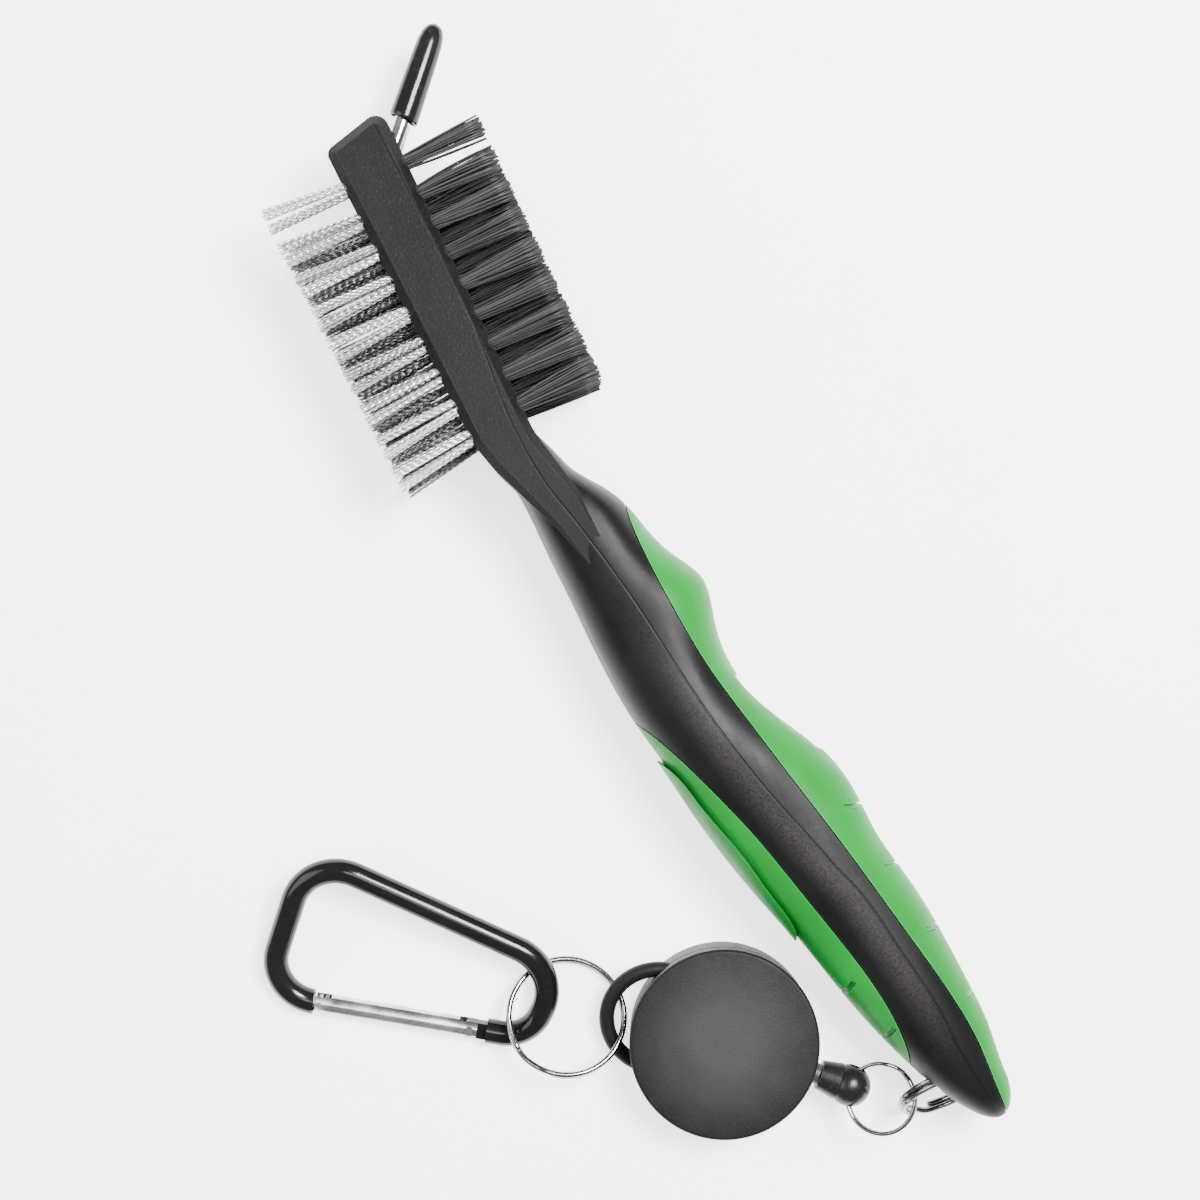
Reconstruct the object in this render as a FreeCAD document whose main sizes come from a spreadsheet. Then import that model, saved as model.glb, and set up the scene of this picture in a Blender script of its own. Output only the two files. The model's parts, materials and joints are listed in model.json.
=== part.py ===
import FreeCAD, Part
import math
import os

from FreeCAD import Placement, Rotation, Vector

os.makedirs("parts", exist_ok=True)
doc = FreeCAD.newDocument("groove_brush")

# ---------------------------------------------------------------- sizes (mm)
# The brush lies on its side: the tail is near y = 0, the head towards +Y, nylon towards +X, wire towards -X.
SIZES = {
    # head and handle
    "head_thickness": 24.0,
    "head_bevel": 1.5,
    "grip_thickness": 2.2,
    "grip_seam": 0.18,
    "pad_rise": 0.7,
    "groove_depth": 0.6,
    "groove_width": 0.9,
    "groove_length": 4.4,
    "thumb_step": 0.4,
    # tufts
    "tuft_exposed": 14.0,
    "tuft_root_radius": 1.65,
    "tuft_tip_radius": 2.15,
    "tuft_hole_radius": 1.7,
    "tuft_hole_depth": 3.2,
    "tuft_seat_depth": 2.5,
    "nylon_pitch": 5.46,
    "wire_pitch": 5.64,
    "wire_leg_radius": 0.75,
    "outer_column": 9.2,
    "inner_column": 5.2,
    "anchor_width": 2.6,
    "anchor_height": 0.6,
    "anchor_gauge": 0.35,
    # groove spike
    "spike_x": -0.87,
    "spike_y": 188.15,
    "spike_bearing": 50.7,
    "spike_length": 22.6,
    "spike_radius": 1.55,
    "spike_eye_radius": 2.15,
    "spike_eye_half": 1.7,
    "spike_point_length": 6.0,
    "spike_point_radius": 0.4,
    "pivot_radius": 1.0,
    "pivot_length": 17.0,
    "pivot_fit": 0.05,
    "cap_start": 6.6,
    "cap_end": 23.8,
    "cap_radius": 2.5,
    "cap_bore_length": 16.1,
    "cap_fit": 0.05,
    # tail ring and link ring
    "lanyard_hole_radius": 2.7,
    "ring_relief": 0.75,
    "tail_ring_x": -4.4,
    "tail_ring_y": 5.9,
    "tail_ring_z": 7.6,
    "tail_ring_radius": 7.5,
    "tail_ring_gauge": 0.44,
    "link_ring_radius": 5.8,
    "link_ring_gauge": 0.30,
    "link_ring_tilt": 22.0,
    "link_ring_play": 0.25,
    # reel
    "reel_x": -31.54,
    "reel_y": 32.58,
    "reel_exit_angle": -51.5,
    "reel_radius": 16.0,
    "reel_wall": 1.3,
    "reel_plate": 1.4,
    "reel_back_height": 9.9,
    "reel_seam": 0.25,
    "reel_height": 12.0,
    "reel_edge": 0.6,
    "reel_crown": 0.5,
    "reel_overhang": 0.25,
    "spigot_wall": 0.8,
    "spigot_fit": 0.1,
    "spigot_depth": 0.9,
    "bail_radius": 1.3,
    "bail_foot_reach": 14.9,
    "bail_apex_reach": 20.2,
    "bail_high_foot": 5.9,
    "bail_apex": 4.3,
    "bail_low_foot": 2.2,
    "wall_groove_height": 6.73,
    "wall_groove_gauge": 0.28,
    "axle_radius": 1.6,
    "axle_start": 0.3,
    "axle_socket": 0.6,
    "spool_fit": 0.08,
    "spool_radius": 13.2,
    "spool_bottom": 1.7,
    "spool_top": 9.9,
    "flange_thickness": 0.8,
    "cord_band_bottom": 5.9,
    "cord_drum_radius": 8.0,
    "cord_band_radius": 12.2,
    "spring_cup_radius": 12.0,
    "spring_gauge": 0.22,
    "spring_play": 0.25,
    "cord_height": 6.9,
    "cord_radius": 0.45,
    # cord end fitting
    "nozzle_start": 14.6,
    "nozzle_end": 17.1,
    "nozzle_radius": 1.75,
    "nozzle_bore": 0.75,
    "boot_start": 17.25,
    "boot_base_radius": 2.5,
    "boot_neck": 20.6,
    "boot_neck_radius": 3.15,
    "boot_ball": 22.74,
    "boot_ball_radius": 3.55,
    "boot_eye_radius": 1.25,
    "crimp_start": 17.9,
    "crimp_end": 20.4,
    "crimp_radius": 1.0,
    # key ring
    "key_ring_x": -52.3,
    "key_ring_y": 49.6,
    "key_ring_z": 4.63,
    "key_ring_radius": 9.85,
    "key_ring_gauge": 0.5,
    # carabiner
    "carabiner_rod": 2.15,
    "carabiner_tilt": 15.0,
    "gate_radius": 1.7,
    "gate_slot": 1.7,
    "gate_tab": 1.5,
    "gate_tab_radius": 1.45,
    "latch_pin_radius": 0.6,
    "gate_pin_radius": 0.8,
    "gate_pin_fit": 0.05,
    "gate_pin_length": 3.4,
    "latch_pin_length": 3.0,
    "latch_pin_reach": 1.1,
    "gate_spring_radius": 0.8,
    "gate_spring_room": 0.95,
    "gate_spring_length": 7.6,
}

sheet = doc.addObject("Spreadsheet::Sheet", "sizes")
for row, (name, value) in enumerate(SIZES.items(), start=1):
    sheet.set(f"A{row}", name)
    sheet.set(f"B{row}", str(value))
    sheet.setAlias(f"B{row}", name)
doc.recompute()


def size(name):
    return float(sheet.get(name))


UP = Vector(0, 0, 1)
MID = size("head_thickness") / 2
nodes = []


# ---------------------------------------------------------------- helpers
def keep(obj, label):
    """Name a finished sub-part and list it for export."""
    obj.Label = label
    nodes.append(obj)
    return obj


def feature(label, shape, place=None):
    """A sub-part whose form is a loft, a sweep or a pattern."""
    obj = doc.addObject("Part::Feature", label)
    obj.Shape = shape
    if place:
        obj.Placement = place
    return keep(obj, label)


def part_body(label, place):
    body = doc.addObject("PartDesign::Body", label)
    body.Placement = place
    return keep(body, label)


def primitive(body, kind, name, base, turn, **sizes):
    """A PartDesign primitive at a place in its body, each size bound to a formula of the sheet."""
    item = body.newObject("PartDesign::" + kind, body.Name + "_" + name)
    for key, formula in sizes.items():
        item.setExpression(key, formula)
    item.Placement = Placement(base, turn)
    return item


def placed(x, y, z, turn=Rotation()):
    return Placement(Vector(x, y, z), turn)


def frame(base, first, second):
    """The placement whose local X and Y run along two directions."""
    third = first.cross(second)
    return Placement(base, Rotation(first, second, third, "ZXY"))


def polyline_path(corners, radii):
    """A wire of straight runs joined by tangent arcs, one radius for each inner corner."""
    edges = []
    start = corners[0]
    for before, corner, after, radius in zip(corners, corners[1:], corners[2:], radii):
        back = (before - corner).normalize()
        onward = (after - corner).normalize()
        half = back.getAngle(onward) / 2
        reach = radius / math.tan(half)
        enter = corner + back * reach
        leave = corner + onward * reach
        bisector = (back + onward).normalize()
        middle = corner + bisector * (radius / math.sin(half) - radius)
        if (enter - start).Length > 0.001:
            edges.append(Part.LineSegment(start, enter).toShape())
        edges.append(Part.Arc(enter, middle, leave).toShape())
        start = leave
    if (corners[-1] - start).Length > 0.001:
        edges.append(Part.LineSegment(start, corners[-1]).toShape())
    return Part.Wire(edges)


def swept_rod(path, radius):
    """A round rod along a wire, from its first point."""
    first = path.Edges[0]
    start = first.valueAt(first.FirstParameter)
    heading = first.tangentAt(first.FirstParameter)
    section = Part.Wire(Part.makeCircle(radius, start, heading))
    return path.makePipeShell([section], True, False)


def plate(points, bottom, height):
    """A flat plate with straight sides, extruded upwards."""
    outline = Part.makePolygon([Vector(x, y, bottom) for x, y in points + points[:1]])
    return Part.Face(outline).extrude(UP * height)


def side_of_curve(points, far_x):
    """Everything on one side of a smooth curve seen from above, through the whole thickness."""
    curve = Part.BSplineCurve()
    curve.interpolate([Vector(x, y, -2) for x, y in points])
    first = Vector(points[0][0], points[0][1], -2)
    last = Vector(points[-1][0], points[-1][1], -2)
    far_last = Vector(far_x, last.y, -2)
    far_first = Vector(far_x, first.y, -2)
    closing = Part.makePolygon([last, far_last, far_first, first])
    outline = Part.Wire([curve.toShape()] + closing.Edges)
    return Part.Face(outline).extrude(UP * 28)


def wire_coil(radius, gauge):
    """Two closed turns of round wire side by side: the plain solid of a split ring about local Z."""
    lower = Part.makeTorus(radius, gauge, Vector(0, 0, -gauge * 0.95))
    upper = Part.makeTorus(radius, gauge, Vector(0, 0, gauge * 0.95))
    return lower.fuse(upper)


# ---------------------------------------------------------------- handle
# Stations along the handle: y, wire-side x, nylon-side x, half thickness, roundness (1 is an ellipse).
STATIONS = [
    (151.0, -12.8, -4.3, 10.4, 0.66),
    (144.0, -13.1, -4.5, 10.7, 0.66),
    (137.0, -13.3, -4.6, 10.9, 0.66),
    (130.0, -12.4, -2.9, 10.9, 0.68),
    (123.0, -12.8, 0.3, 10.9, 0.74),
    (114.0, -13.8, 2.8, 11.0, 0.82),
    (106.0, -14.6, 4.9, 11.2, 0.87),
    (99.0, -15.35, 6.3, 11.4, 0.87),
    (94.5, -15.7, 4.7, 11.5, 0.87),
    (88.0, -15.9, 3.1, 11.7, 0.87),
    (81.0, -15.5, 3.4, 11.7, 0.87),
    (74.0, -15.2, 5.7, 11.8, 0.87),
    (65.0, -14.8, 8.8, 11.8, 0.87),
    (54.0, -13.6, 9.1, 11.7, 0.87),
    (42.0, -11.7, 9.2, 11.3, 0.87),
    (30.0, -10.2, 9.3, 10.6, 0.87),
    (18.0, -8.0, 8.5, 9.3, 0.87),
    (10.0, -5.9, 7.2, 8.0, 0.87),
    (4.0, -3.4, 6.0, 6.4, 0.87),
    (0.5, -1.3, 4.6, 4.4, 0.87),
    (-1.0, 0.4, 3.0, 2.6, 0.87),
]
SECTION_POINTS = 16


def handle_section(station, grow):
    """A rounded section across the handle, grown or shrunk all round."""
    y, wire_x, nylon_x, half, power = station
    middle = (wire_x + nylon_x) / 2
    reach = (nylon_x - wire_x) / 2 + grow
    rise = half + grow
    points = []
    for i in range(SECTION_POINTS):
        angle = 2 * math.pi * i / SECTION_POINTS
        across = math.cos(angle)
        up = math.sin(angle)
        x = middle + reach * math.copysign(abs(across) ** power, across)
        z = MID + rise * math.copysign(abs(up) ** power, up)
        points.append(Vector(x, y, z))
    knots = [i / SECTION_POINTS for i in range(SECTION_POINTS + 1)]
    curve = Part.BSplineCurve()
    curve.interpolate(Points=points, PeriodicFlag=True, Parameters=knots)
    return Part.Wire(curve.toShape())


def handle_loft(grow, first=0, last=None):
    wires = [handle_section(s, grow) for s in STATIONS[first:last]]
    return Part.makeLoft(wires, True, False)


handle = handle_loft(0)
raised = handle_loft(size("pad_rise"), 8, -4)
skin = handle_loft(-size("groove_depth"), 3, -1)
scooped = handle_loft(-size("thumb_step"), 6, -6)
spine = handle_loft(-size("grip_thickness"), 3, -3)

NYLON_BOUNDARY = [
    (3.4, 121.0), (1.7, 117.2), (0.5, 111.0), (-0.5, 98.0), (-0.6, 88.0), (0.1, 79.0), (1.3, 66.0),
    (2.7, 52.0), (3.9, 36.0), (4.8, 22.0), (4.6, 13.0), (3.4, 5.0), (2.6, -3.0),
]
WIRE_BOUNDARY = [
    (-17.4, 89.0), (-15.6, 86.0), (-13.2, 79.8), (-10.9, 71.0), (-8.9, 61.5), (-7.5, 51.3),
    (-6.2, 40.8), (-5.2, 30.0), (-5.3, 23.0), (-6.4, 16.2), (-8.4, 10.5),
]
PAD_EDGE = [
    (-17.5, 80.5), (-15.5, 78.1), (-13.8, 69.4), (-12.3, 59.3), (-11.6, 50.0), (-11.8, 42.4), (-14.0, 40.0),
]
# The rim of the thumb scoop on the nylon side.
THUMB_EDGE = [(2.2, 84.5), (2.75, 81.9), (4.2, 76.4), (6.1, 70.1), (8.5, 66.1), (10.5, 64.5)]
# Diagonal finger grooves on the grips: inner end x, y.
NYLON_GROOVES = [(5.9, 57.3), (6.4, 45.3), (6.9, 33.0), (6.9, 19.9)]
WIRE_GROOVES = [(-7.6, 32.0), (-6.0, 22.0)]
GROOVE_ANGLE = 32.0


def shifted(points, step):
    return [(x + step, y) for x, y in points]


def groove_tool(start, heading_x):
    """A straight cut along the skin of a grip, square to the floor."""
    x, y = start
    half = size("groove_width") / 2
    tool = Part.makeBox(size("groove_length"), 2 * half, 28, Vector(0, -half, -2))
    angle = -GROOVE_ANGLE if heading_x > 0 else GROOVE_ANGLE - 180
    tool.Placement = placed(x, y, 0, Rotation(UP, angle))
    return tool.cut(skin)


def grip(boundary, far_x, grooves, heading_x, pad=None):
    region = side_of_curve(boundary, far_x)
    shape = handle.common(region)
    if pad:
        shape = shape.fuse(raised.common(side_of_curve(pad, far_x)).common(region))
    shape = shape.cut(spine)
    return shape.cut([groove_tool(g, heading_x) for g in grooves])


grip_nylon = grip(NYLON_BOUNDARY, 30, NYLON_GROOVES, 1).cut(side_of_curve(THUMB_EDGE, 30).cut(scooped))
grip_wire = grip(WIRE_BOUNDARY, -30, WIRE_GROOVES, -1, PAD_EDGE)

# ---------------------------------------------------------------- head
NYLON_FACE = (Vector(-4.6, 136.0, 0), Vector(1.45, 189.0, 0))
WIRE_FACE = (Vector(-14.1, 139.0, 0), Vector(-9.75, 189.0, 0))
# Clockwise from the wire side of the slanted end; the last six corners are the crest that runs down the neck.
HEAD_OUTLINE = [
    (-9.45, 192.4), (1.85, 193.7), (1.35, 188.0), (-4.6, 136.0), (-3.5, 124.0), (-4.4, 108.0),
    (-7.6, 108.0), (-9.9, 121.0), (-13.4, 134.0), (-14.1, 139.0),
]
HEAD_CORNER_RADII = [1.6, 2.2, 10.0, 20.0, 30.0, 0.5, 0.5, 20.0, 20.0, 8.0]
CREST_TOP = 134.0
CREST_MIDDLE = 120.0
CREST_FOOT = 106.0


def rounded_prism(outline, radii, height):
    """A flat-sided block whose upright corners are rounded one by one."""
    points = [Vector(x, y, 0) for x, y in outline]
    seam_point = (points[-1] + points[0]) / 2
    path = polyline_path([seam_point] + points + [seam_point], radii)
    return Part.Face(path).extrude(UP * height)


def head_solid():
    """The flat-sided head, bevelled round both flat sides, with a crest that sinks into the neck."""
    thickness = size("head_thickness")
    solid = rounded_prism(HEAD_OUTLINE, HEAD_CORNER_RADII, thickness)
    rims = [e for e in solid.Edges if abs(e.CenterOfMass.z - MID) > MID - 0.001]
    solid = solid.makeChamfer(size("head_bevel"), rims)
    corners = [
        Vector(-30, 200, 0), Vector(-30, CREST_TOP, 0), Vector(-30, CREST_MIDDLE, 0.7),
        Vector(-30, CREST_FOOT, 1.9),
    ]
    lower = polyline_path(corners, [60.0, 60.0])
    mirrored = [Vector(p.x, p.y, 2 * MID - p.z) for p in corners]
    upper = polyline_path(mirrored, [60.0, 60.0])
    ends = [
        Part.LineSegment(corners[0], mirrored[0]).toShape(),
        Part.LineSegment(corners[-1], mirrored[-1]).toShape(),
    ]
    profile = Part.Wire(Part.__sortEdges__(lower.Edges + upper.Edges + ends))
    envelope = Part.Face(profile).extrude(Vector(60, 0, 0))
    return solid.common(envelope)


# ---------------------------------------------------------------- tufts
# Each column: its height from the mid-plane (a sheet name and a sign), its first and last place in the row.
COLUMNS = [
    ("outer_column", 1, 0.0, 8),
    ("inner_column", 1, 1.5, 7.5),
    ("inner_column", -1, 1.0, 8),
    ("outer_column", -1, 0.5, 7.5),
]


def column_roots(face, first_y, pitch, outward, column, fan):
    """Frames on a bristle face, local Z pointing outward, one for each tuft of a column."""
    name, sign, first, last = column
    along = (face[1] - face[0]).normalize()
    start = face[0] + along * ((first_y - face[0].y) / along.y)
    height = MID + sign * size(name)
    normal = Vector(along.y, -along.x, 0) * outward
    frames = []
    k = first
    while k <= last + 0.01:
        root = start - along * (pitch * k) + UP * height
        lean = math.radians(fan * (1 - k / 4))
        heading = normal * math.cos(lean) + along * math.sin(lean)
        frames.append(Placement(root, Rotation(heading.cross(UP), UP, heading, "ZYX")))
        k += 1
    return frames


def nylon_frames(column):
    return column_roots(NYLON_FACE, 184.3, size("nylon_pitch"), 1, column, 0)


def wire_frames(column):
    return column_roots(WIRE_FACE, 185.6, size("wire_pitch"), -1, column, 4)


def tuft_hole(place):
    depth = size("tuft_hole_depth")
    hole = Part.makeCylinder(size("tuft_hole_radius"), depth + 3, UP * -depth)
    hole.Placement = place
    return hole


def nylon_tuft(place):
    seat = size("tuft_seat_depth")
    root = Part.makeCylinder(size("tuft_root_radius"), seat, Vector(0, 0, -seat))
    brush = Part.makeCone(size("tuft_root_radius"), size("tuft_tip_radius"), size("tuft_exposed"))
    tuft = root.fuse(brush).removeSplitter()
    tuft.Placement = place
    return tuft


def wire_tuft(place):
    """Two flared legs side by side along the row, folded together at the root."""
    seat = size("tuft_seat_depth")
    leg = size("wire_leg_radius")
    shape = Part.makeCylinder(size("tuft_root_radius"), seat, Vector(0, 0, -seat))
    for side in (-1, 1):
        base = Vector(side * (size("tuft_root_radius") - leg), 0, -0.5)
        lean = Rotation(Vector(0, 1, 0), side * 2.2)
        flared = Part.makeCone(leg, leg * 1.45, size("tuft_exposed") + 0.5)
        flared.Placement = Placement(base, lean)
        shape = shape.fuse(flared)
    shape.Placement = place
    return shape


def tuft_anchor(place):
    """The flat staple at the bottom of a tuft hole."""
    width = size("anchor_width")
    gauge = size("anchor_gauge")
    corner = Vector(-gauge / 2, -width / 2, -size("tuft_hole_depth"))
    anchor = Part.makeBox(gauge, width, size("anchor_height"), corner)
    anchor.Placement = place
    return anchor


# ---------------------------------------------------------------- spike
spike_bearing = math.radians(size("spike_bearing"))
SPIKE_AHEAD = Vector(math.sin(spike_bearing), math.cos(spike_bearing), 0)
SPIKE_PLACE = frame(Vector(size("spike_x"), size("spike_y"), MID), SPIKE_AHEAD, UP.cross(SPIKE_AHEAD))
ALONG_X = Rotation(Vector(0, 1, 0), 90)
FOLD_ANGLE = -135.0


def spike_pocket():
    """The slot and channel that the spike folds into, with the bore of its pivot."""
    half = size("spike_eye_half") + 0.2
    eye = size("spike_eye_radius") + 0.4
    pivot = Vector(size("spike_x"), size("spike_y"), MID)
    hub = Part.makeCylinder(eye, 2 * half, pivot - UP * half)
    opened = Part.makeBox(14, 2 * size("spike_radius") + 0.4, 2 * half)
    opened.translate(Vector(0, -size("spike_radius") - 0.2, -half))
    opened.Placement = SPIKE_PLACE.multiply(opened.Placement)
    folded_place = SPIKE_PLACE.multiply(placed(0, 0, 0, Rotation(UP, FOLD_ANGLE)))
    reach = size("cap_radius") + 0.35
    narrow = Part.makeBox(9, 12, 2 * half, Vector(0, -size("spike_radius") - 0.6, -half))
    narrow.Placement = folded_place
    wide_start = size("cap_start") - 0.8
    wide_length = size("cap_end") + 0.8 - wide_start
    wide = Part.makeBox(wide_length, 12, 2 * reach, Vector(wide_start, -reach, -reach))
    wide.Placement = folded_place
    bore = Part.makeCylinder(size("pivot_radius"), size("pivot_length") + 2, Vector(pivot.x, pivot.y, -1))
    return [hub, opened, narrow, wide, bore]


# ---------------------------------------------------------------- tail ring frame
RING_ALONG = Vector(0.985, -0.172, 0).normalize()
RING_TILT = 61.3


def ring_frame(base, along, tilt):
    """Local X along the ring's level diameter, local Z its axis; the ring's +Y side is raised."""
    across = Rotation(along, tilt).multVec(UP.cross(along))
    return frame(base, along, across)


TAIL_RING_PLACE = ring_frame(
    Vector(size("tail_ring_x"), size("tail_ring_y"), size("tail_ring_z")), RING_ALONG, RING_TILT
)
LANYARD_CENTRE = Vector(0.4, 7.6, 12.4)
TAIL_SWING = (-8.0, 10.0)


def lanyard_hole():
    """A round hole with flared mouths, and the curved way that the ring takes through it as it swings."""
    hole_radius = size("lanyard_hole_radius")
    cutters = []
    bore = Part.makeCylinder(hole_radius, 30, Vector(0, 0, -15))
    bore.Placement = Placement(LANYARD_CENTRE, Rotation(UP, RING_ALONG))
    cutters.append(bore)
    relief = size("tail_ring_gauge") * 2 + size("ring_relief")
    for turn in (TAIL_SWING[0], 0.0, TAIL_SWING[1]):
        way = Part.makeTorus(size("tail_ring_radius"), relief)
        way.Placement = TAIL_RING_PLACE
        way.rotate(LANYARD_CENTRE, RING_ALONG, turn)
        cutters.append(way)
    return cutters


# ---------------------------------------------------------------- brush nodes
cutters = [tuft_hole(p) for c in COLUMNS for p in nylon_frames(c)]
cutters += [tuft_hole(p) for c in COLUMNS for p in wire_frames(c)]
cutters += spike_pocket()

seam = size("grip_seam")
core = handle.cut(side_of_curve(shifted(NYLON_BOUNDARY, -seam), 30))
core = core.cut(side_of_curve(shifted(WIRE_BOUNDARY, seam), -30))
core = core.fuse([spine, head_solid()])
core = core.cut(cutters)
lanyard_cutters = lanyard_hole()
core = core.cut(lanyard_cutters)
grip_nylon = grip_nylon.cut(lanyard_cutters)

feature("head_and_handle_core", core)
feature("grip_nylon_side", grip_nylon)
feature("grip_wire_side", grip_wire)
for number, column in enumerate(COLUMNS, start=1):
    feature(f"nylon_tufts_{number}", Part.makeCompound([nylon_tuft(p) for p in nylon_frames(column)]))
for number, column in enumerate(COLUMNS, start=1):
    feature(f"wire_tufts_{number}", Part.makeCompound([wire_tuft(p) for p in wire_frames(column)]))
feature("nylon_anchors", Part.makeCompound([tuft_anchor(p) for c in COLUMNS for p in nylon_frames(c)]))
feature("wire_anchors", Part.makeCompound([tuft_anchor(p) for c in COLUMNS for p in wire_frames(c)]))

pin = part_body("spike_pivot_pin", placed(size("spike_x"), size("spike_y"), 0.4))
primitive(
    pin, "AdditiveCylinder", "shank", Vector(0, 0, 0), Rotation(),
    Radius="sizes.pivot_radius", Height="sizes.pivot_length",
)

spike = part_body("spike", SPIKE_PLACE)
primitive(
    spike, "AdditiveCylinder", "eye", Vector(0, 0, -size("spike_eye_half")), Rotation(),
    Radius="sizes.spike_eye_radius", Height="2 * sizes.spike_eye_half",
)
primitive(
    spike, "AdditiveCylinder", "shank", Vector(0, 0, 0), ALONG_X,
    Radius="sizes.spike_radius", Height="sizes.spike_length - sizes.spike_point_length",
)
primitive(
    spike, "AdditiveCone", "point", Vector(size("spike_length") - size("spike_point_length"), 0, 0), ALONG_X,
    Radius1="sizes.spike_radius", Radius2="sizes.spike_point_radius", Height="sizes.spike_point_length",
)
primitive(
    spike, "SubtractiveCylinder", "bore", Vector(0, 0, -4), Rotation(),
    Radius="sizes.pivot_radius + sizes.pivot_fit", Height="8",
)

cap = part_body("spike_cap", SPIKE_PLACE)
primitive(
    cap, "AdditiveCylinder", "tube", Vector(size("cap_start"), 0, 0), ALONG_X,
    Radius="sizes.cap_radius", Height="sizes.cap_end - sizes.cap_start - sizes.cap_radius",
)
primitive(
    cap, "AdditiveSphere", "tip", Vector(size("cap_end") - size("cap_radius"), 0, 0), Rotation(),
    Radius="sizes.cap_radius",
)
primitive(
    cap, "SubtractiveCylinder", "bore", Vector(size("cap_start") - 1, 0, 0), ALONG_X,
    Radius="sizes.spike_radius + sizes.cap_fit", Height="sizes.cap_bore_length + 1",
)

# ---------------------------------------------------------------- rings
feature("tail_ring", wire_coil(size("tail_ring_radius"), size("tail_ring_gauge")), TAIL_RING_PLACE)

exit_angle = math.radians(size("reel_exit_angle"))
EXIT = Vector(math.cos(exit_angle), math.sin(exit_angle), 0)
REEL_AXIS = Vector(size("reel_x"), size("reel_y"), 0)
CORD_LEVEL = REEL_AXIS + UP * size("cord_height")
CORD_PLACE = frame(CORD_LEVEL, EXIT, UP.cross(EXIT))
BOOT_EYE = CORD_LEVEL + EXIT * size("boot_ball")
link_tilt = math.radians(size("link_ring_tilt"))
LINK_OUT = EXIT * math.cos(link_tilt) + UP * math.sin(link_tilt)
LINK_CENTRE = BOOT_EYE + LINK_OUT * size("link_ring_radius")
LINK_PLACE = frame(LINK_CENTRE, LINK_OUT, UP.cross(EXIT))
feature("link_ring", wire_coil(size("link_ring_radius"), size("link_ring_gauge")), LINK_PLACE)

# ---------------------------------------------------------------- cord end
boot = part_body("cord_end_boot", CORD_PLACE)
primitive(
    boot, "AdditiveCone", "skirt", Vector(size("boot_start"), 0, 0), ALONG_X,
    Radius1="sizes.boot_base_radius", Radius2="sizes.boot_neck_radius",
    Height="sizes.boot_neck - sizes.boot_start",
)
primitive(
    boot, "AdditiveSphere", "ball", Vector(size("boot_ball"), 0, 0), Rotation(),
    Radius="sizes.boot_ball_radius",
)
primitive(
    boot, "SubtractiveCylinder", "cord_bore", Vector(size("boot_start") - 1, 0, 0), ALONG_X,
    Radius="sizes.cord_radius + 0.05", Height="2",
)
primitive(
    boot, "SubtractiveCylinder", "crimp_bore", Vector(size("crimp_start"), 0, 0), ALONG_X,
    Radius="sizes.crimp_radius", Height="sizes.crimp_end - sizes.crimp_start",
)
EYE_AXIS = Rotation(Vector(1, 0, 0), 90)
primitive(
    boot, "SubtractiveCylinder", "eye", Vector(size("boot_ball"), 5, 0), EYE_AXIS,
    Radius="sizes.boot_eye_radius", Height="10",
)

ring_way = CORD_PLACE.inverse().multiply(LINK_PLACE)
primitive(
    boot, "SubtractiveTorus", "ring_way", ring_way.Base, ring_way.Rotation,
    Radius1="sizes.link_ring_radius", Radius2="sizes.link_ring_gauge * 2 + sizes.link_ring_play",
)

crimp = part_body("cord_end_crimp", CORD_PLACE)
primitive(
    crimp, "AdditiveCylinder", "sleeve", Vector(size("crimp_start"), 0, 0), ALONG_X,
    Radius="sizes.crimp_radius", Height="sizes.crimp_end - sizes.crimp_start",
)
primitive(
    crimp, "SubtractiveCylinder", "bore", Vector(size("crimp_start") - 1, 0, 0), ALONG_X,
    Radius="sizes.cord_radius", Height="sizes.crimp_end - sizes.crimp_start",
)

lead = part_body("cord_lead", CORD_PLACE)
primitive(
    lead, "AdditiveCylinder", "cord", Vector(size("nozzle_start") + 0.4, 0, 0), ALONG_X,
    Radius="sizes.cord_radius", Height="sizes.crimp_end - 1 - sizes.nozzle_start - 0.4",
)

# ---------------------------------------------------------------- reel
REEL_PLACE = frame(REEL_AXIS, EXIT, UP.cross(EXIT))


def reel_point(angle, radius, height):
    """A point about the reel's axis; angle 0 is the cord's exit."""
    turn = math.radians(angle)
    return Vector(radius * math.cos(turn), radius * math.sin(turn), height)


def bail_arch():
    """The arched loop moulded on the back cover's side wall, its far foot higher than its near one."""
    high_foot = reel_point(148.0, size("bail_foot_reach"), size("bail_high_foot"))
    low_foot = reel_point(219.0, size("bail_foot_reach"), size("bail_low_foot"))
    apex = reel_point(185.0, size("bail_apex_reach"), size("bail_apex"))
    path = Part.Wire(Part.Arc(high_foot, apex, low_foot).toShape())
    return swept_rod(path, size("bail_radius"))


def nozzle_way():
    """The round way through the side wall that holds the nozzle."""
    middle = size("reel_radius") - size("reel_wall")
    start = Vector(middle - 3, 0, size("cord_height"))
    return Part.makeCylinder(size("nozzle_radius"), 6, start, Vector(1, 0, 0))


def back_cover():
    """A round case with a deep side wall, its bail, and a shallow groove round the wall."""
    radius = size("reel_radius") - size("reel_overhang")
    height = size("reel_back_height")
    case = Part.makeCylinder(radius, height)
    floor_rim = [e for e in case.Edges if e.CenterOfMass.z < 0.001 and e.Length > 50]
    case = case.makeFillet(size("reel_edge"), floor_rim)
    bail = bail_arch()
    inside = Part.makeCylinder(radius - size("reel_wall"), height, UP * size("reel_plate"))
    axle_hole = Part.makeCylinder(size("axle_radius"), 3, UP * -1)
    wall_groove = Part.makeTorus(radius + 0.1, size("wall_groove_gauge"), UP * size("wall_groove_height"))
    case = case.cut(wall_groove.cut(bail)).fuse(bail)
    return case.cut([inside, nozzle_way(), axle_hole])


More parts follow.
